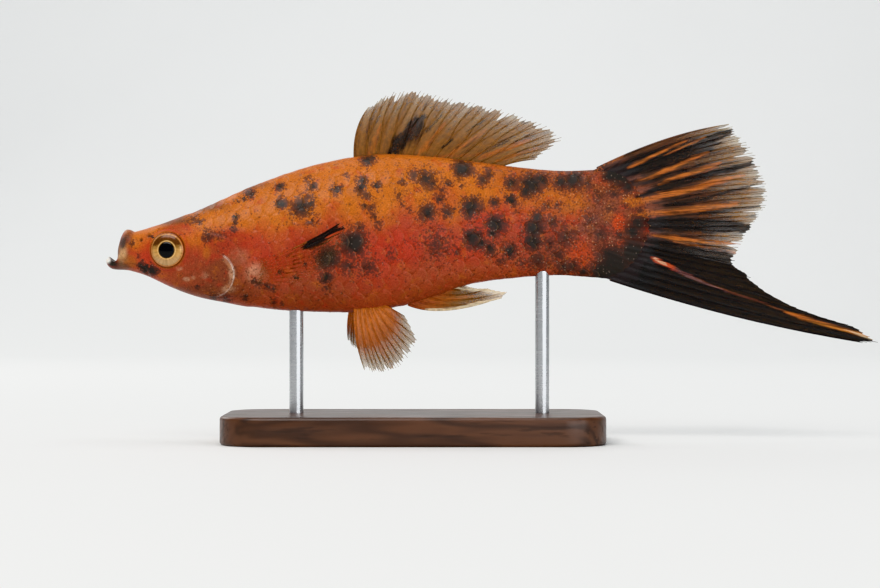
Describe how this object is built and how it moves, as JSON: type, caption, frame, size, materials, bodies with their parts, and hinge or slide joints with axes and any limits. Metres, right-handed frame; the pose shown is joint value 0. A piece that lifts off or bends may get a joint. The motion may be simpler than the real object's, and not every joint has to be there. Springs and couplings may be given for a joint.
{
  "type": "swordtail, male",
  "caption": "Life-size model of a male swordtail, a small orange fish with dark blotches and a sword on its tail fin, on a plain display stand.",
  "frame": {"origin": "on the underside of the stand's base, in the fish's middle plane, half way along its length from the lower lip to the tip of the sword", "axes": "the head points to -X, the left flank to -Y and the back to +Z"},
  "size_m": [0.108, 0.026, 0.0493],
  "materials": {
    "flesh": "wet gloss",
    "fin": "wet gloss",
    "sword": "wet gloss",
    "eye": "polished",
    "stand_wood": "satin, dark stained",
    "stand_steel": "brushed"
  },
  "bodies": {
    "root": {"head": "flesh", "upper_jaw": "flesh", "lower_jaw": "flesh", "gill_cover_left": "flesh", "gill_cover_right": "flesh", "trunk": "flesh", "tail_stem": "flesh", "dorsal_fin": "fin", "caudal_fin": "fin", "pectoral_fin_left": "fin", "pectoral_fin_right": "fin", "pelvic_fin_left": "fin", "pelvic_fin_right": "fin", "gonopodium": "fin", "sword": "sword", "eye_left": "eye", "eye_right": "eye", "stand_base": "stand_wood", "stand_rod_front": "stand_steel", "stand_rod_rear": "stand_steel"}
  },
  "joints": []
}
